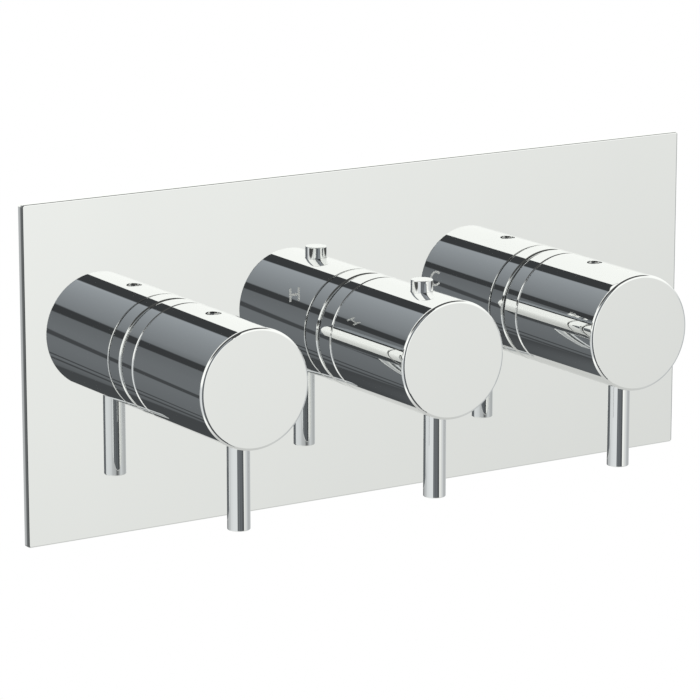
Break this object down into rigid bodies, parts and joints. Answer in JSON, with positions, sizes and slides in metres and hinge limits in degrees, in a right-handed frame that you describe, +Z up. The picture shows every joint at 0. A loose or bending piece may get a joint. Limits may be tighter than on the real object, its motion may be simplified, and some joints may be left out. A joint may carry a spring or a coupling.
{
  "type": "thermostatic shower valve",
  "caption": "Concealed thermostatic shower valve: polished wall plate, lever flow knobs either side of a temperature knob with a stop button, and the brass valve body behind.",
  "frame": {"origin": "centre of the wall plate's rear face, where it meets the finished wall", "axes": "+X to the right as seen from the shower, -Y out of the wall towards the user, +Z up"},
  "size_m": [0.3, 0.134, 0.13],
  "materials": {
    "chrome": "mirror polished chrome plate",
    "brass": "machined brass",
    "steel": "plain stainless steel",
    "copper": "copper capsule",
    "white_plastic": "moulded acetal",
    "ceramic": "lapped alumina",
    "rubber": "soft black rubber",
    "foam": "closed cell foam"
  },
  "bodies": {
    "valve_fixed": {"bracket_screws": "steel", "cold_check_housing": "white_plastic", "cold_check_spring": "steel", "face_plate": "chrome", "gland_nuts": "brass", "hot_check_housing": "white_plastic", "hot_check_spring": "steel", "housing_o_rings": "rubber", "inlet_filters": "steel", "left_fixed_disc": "ceramic", "left_flow_housing": "white_plastic", "left_sleeve": "chrome", "middle_sleeve": "chrome", "plate_seal": "foam", "return_spring": "steel", "right_fixed_disc": "ceramic", "right_flow_housing": "white_plastic", "right_sleeve": "chrome", "seat_seals": "rubber", "sleeve_seals": "rubber", "spindle_o_rings": "rubber", "stop_ring": "white_plastic", "thermo_bonnet": "brass", "thermo_cartridge_sleeve": "brass", "thermo_o_rings": "rubber", "thermo_retaining_nut": "brass", "valve_body": "brass", "wall_bracket": "steel"},
    "left_control": {"left_knob": "chrome", "left_lever": "chrome", "left_hub": "brass", "left_grub_screw": "steel", "left_spindle_extension": "brass", "left_flow_spindle": "brass", "left_moving_disc": "ceramic"},
    "right_control": {"right_knob": "chrome", "right_lever": "chrome", "right_hub": "brass", "right_grub_screw": "steel", "right_spindle_extension": "brass", "right_flow_spindle": "brass", "right_moving_disc": "ceramic"},
    "temperature_control": {"temperature_knob": "chrome", "temperature_lever": "chrome", "temperature_hub": "brass", "temperature_grub_screw": "steel", "thermo_spindle": "brass", "stop_button_spring": "steel"},
    "stop_release": {"stop_button": "chrome"},
    "thermo_drive": {"thermo_push_nut": "brass", "overload_spring": "steel", "overload_cap": "brass", "wax_element": "copper", "thermo_shuttle": "white_plastic"},
    "hot_check": {"hot_check_poppet": "white_plastic"},
    "cold_check": {"cold_check_poppet": "white_plastic"}
  },
  "joints": [
    {"name": "left_flow_turn", "type": "hinge", "parent": "valve_fixed", "child": "left_control", "pos_m": [-0.087, -0.0394, 0], "axis": [0, 1, 0], "range_deg": [0, 90]},
    {"name": "right_flow_turn", "type": "hinge", "parent": "valve_fixed", "child": "right_control", "pos_m": [0.087, -0.0394, 0], "axis": [0, -1, 0], "range_deg": [0, 90]},
    {"name": "temperature_turn", "type": "hinge", "parent": "valve_fixed", "child": "temperature_control", "pos_m": [0, -0.0394, 0], "axis": [0, -1, 0], "range_deg": [-150, 60]},
    {"name": "stop_button_press", "type": "slide", "parent": "temperature_control", "child": "stop_release", "axis": [0, 0, -1], "range_m": [0, 0.003], "stiffness_N_per_m": 1500, "springref_m": -0.0015, "deforming": ["stop_button_spring"]},
    {"name": "thermostat_slide", "type": "slide", "parent": "valve_fixed", "child": "thermo_drive", "axis": [0, 1, 0], "range_m": [-0.0017, 0.0007], "deforming": ["return_spring"]},
    {"name": "hot_check_lift", "type": "slide", "parent": "valve_fixed", "child": "hot_check", "axis": [0, 0, 1], "range_m": [0, 0.003], "stiffness_N_per_m": 60, "springref_m": -0.002, "deforming": ["hot_check_spring"]},
    {"name": "cold_check_lift", "type": "slide", "parent": "valve_fixed", "child": "cold_check", "axis": [0, 0, 1], "range_m": [0, 0.003], "stiffness_N_per_m": 60, "springref_m": -0.002, "deforming": ["cold_check_spring"]}
  ],
  "couplings": [
    {"joint": "thermostat_slide", "follows": "temperature_turn", "m_per_rad": 0.00063662}
  ]
}
